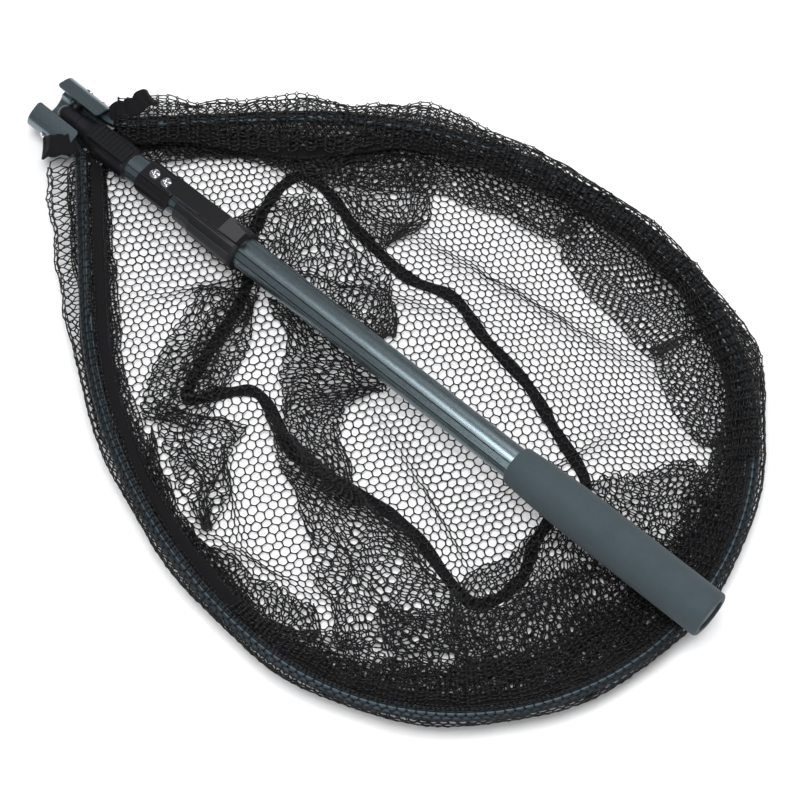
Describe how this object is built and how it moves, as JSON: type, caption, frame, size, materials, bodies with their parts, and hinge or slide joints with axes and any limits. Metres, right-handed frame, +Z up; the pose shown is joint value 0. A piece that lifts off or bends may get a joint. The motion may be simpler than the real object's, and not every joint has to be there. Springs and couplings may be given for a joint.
{
  "type": "landing net",
  "caption": "Folding fishing landing net: teardrop aluminium hoop with a fine mesh bag, hinged to a telescopic twist-lock handle with a foam grip and belt clip.",
  "frame": {"origin": "middle of the folded net's box, on the ground", "axes": "+X from the hinge of the head towards the grip, +Z up, +Y across the hoop"},
  "size_m": [0.7222, 0.51, 0.07],
  "materials": {
    "anodised_aluminium": "slate blue-grey anodised, satin",
    "bright_steel": "bright plated steel",
    "black_plastic": "fine moulded grain, matte",
    "grey_plastic": "dark grey glass-filled plastic, matte",
    "grip_foam": "slate grey closed-cell foam, matte",
    "rim_rubber": "black rubber",
    "black_netting": "knotless hexagonal mesh of coated thread",
    "black_tape": "woven tape"
  },
  "bodies": {
    "head": {"head_bracket": "anodised_aluminium", "hinge_pin": "bright_steel", "hinge_spacers": "black_plastic", "hoop_frame": "anodised_aluminium", "arm_rivets": "bright_steel", "net_sleeve": "black_netting", "hem_tape": "black_tape", "cuff_left": "black_tape", "cuff_right": "black_tape", "net_sides": "black_netting", "net_base": "black_netting", "seam_tape": "black_tape"},
    "shank": {"hinge_tongue": "grey_plastic", "inner_tube": "anodised_aluminium", "inner_tube_bush": "black_plastic", "clip_saddle": "black_plastic", "belt_clip": "black_plastic", "clip_screws": "bright_steel"},
    "slider": {"lock_slider": "black_plastic", "thumb_pad": "black_plastic"},
    "handle": {"outer_tube": "anodised_aluminium", "clamp_ferrule": "black_plastic", "foam_grip": "grip_foam", "butt_plug": "black_plastic"},
    "collar": {"twist_collar": "black_plastic", "collar_rim": "rim_rubber"}
  },
  "joints": [
    {"name": "head_fold", "type": "hinge", "parent": "head", "child": "shank", "pos_m": [-0.34107, 0, 0.022], "axis": [0, -1, 0], "range_deg": [0, 177.7]},
    {"name": "lock_slide", "type": "slide", "parent": "shank", "child": "slider", "axis": [-0.9992, 0, -0.0397], "range_m": [0, 0.0136]},
    {"name": "telescope", "type": "slide", "parent": "shank", "child": "handle", "axis": [0.9992, 0, 0.0397], "range_m": [0, 0.42]},
    {"name": "twist_lock", "type": "hinge", "parent": "handle", "child": "collar", "pos_m": [-0.34107, 0, 0.022], "axis": [0.9992, 0, 0.0397], "range_deg": [0, 90]}
  ]
}
